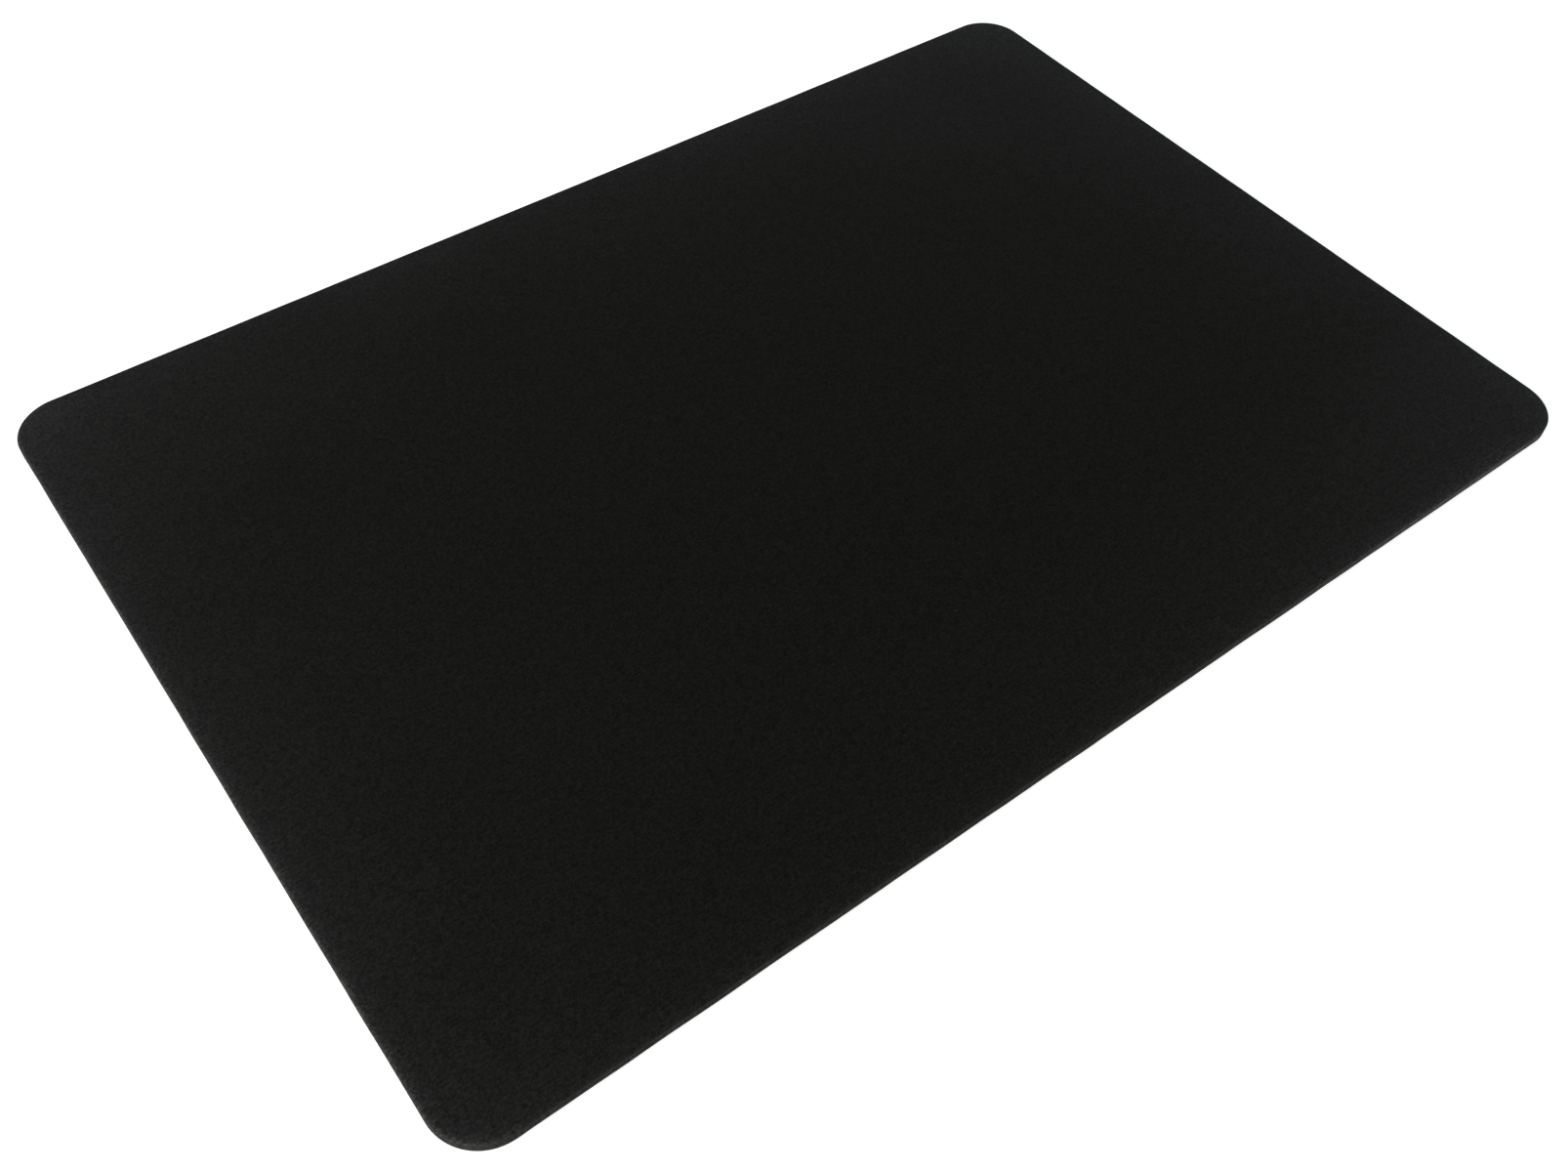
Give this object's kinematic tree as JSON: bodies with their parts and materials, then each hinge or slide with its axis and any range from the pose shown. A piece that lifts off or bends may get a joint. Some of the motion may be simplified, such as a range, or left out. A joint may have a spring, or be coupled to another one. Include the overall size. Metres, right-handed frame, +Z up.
{
  "type": "self healing cutting mat",
  "caption": "Flat rectangular self-healing cutting mat with rounded corners: a matte black laminate of soft outer faces over a firm core, to cut and punch leather on.",
  "frame": {"origin": "centre of the underside, on the surface that the mat lies on", "axes": "+X along the long sides, +Y along the short sides, +Z up out of the working face"},
  "size_m": [0.3, 0.21, 0.003],
  "materials": {
    "healing_pvc": "matte black, fine ribs 0.9 mm apart under a pebble grain",
    "backer_pvc": "matte charcoal, die-cut edge",
    "core_pvc": "matte charcoal, die-cut edge"
  },
  "bodies": {
    "root": {"bottom_healing_sheet": "healing_pvc", "lower_backer_sheet": "backer_pvc", "core_sheet": "core_pvc", "upper_backer_sheet": "backer_pvc", "top_healing_sheet": "healing_pvc"}
  },
  "joints": []
}
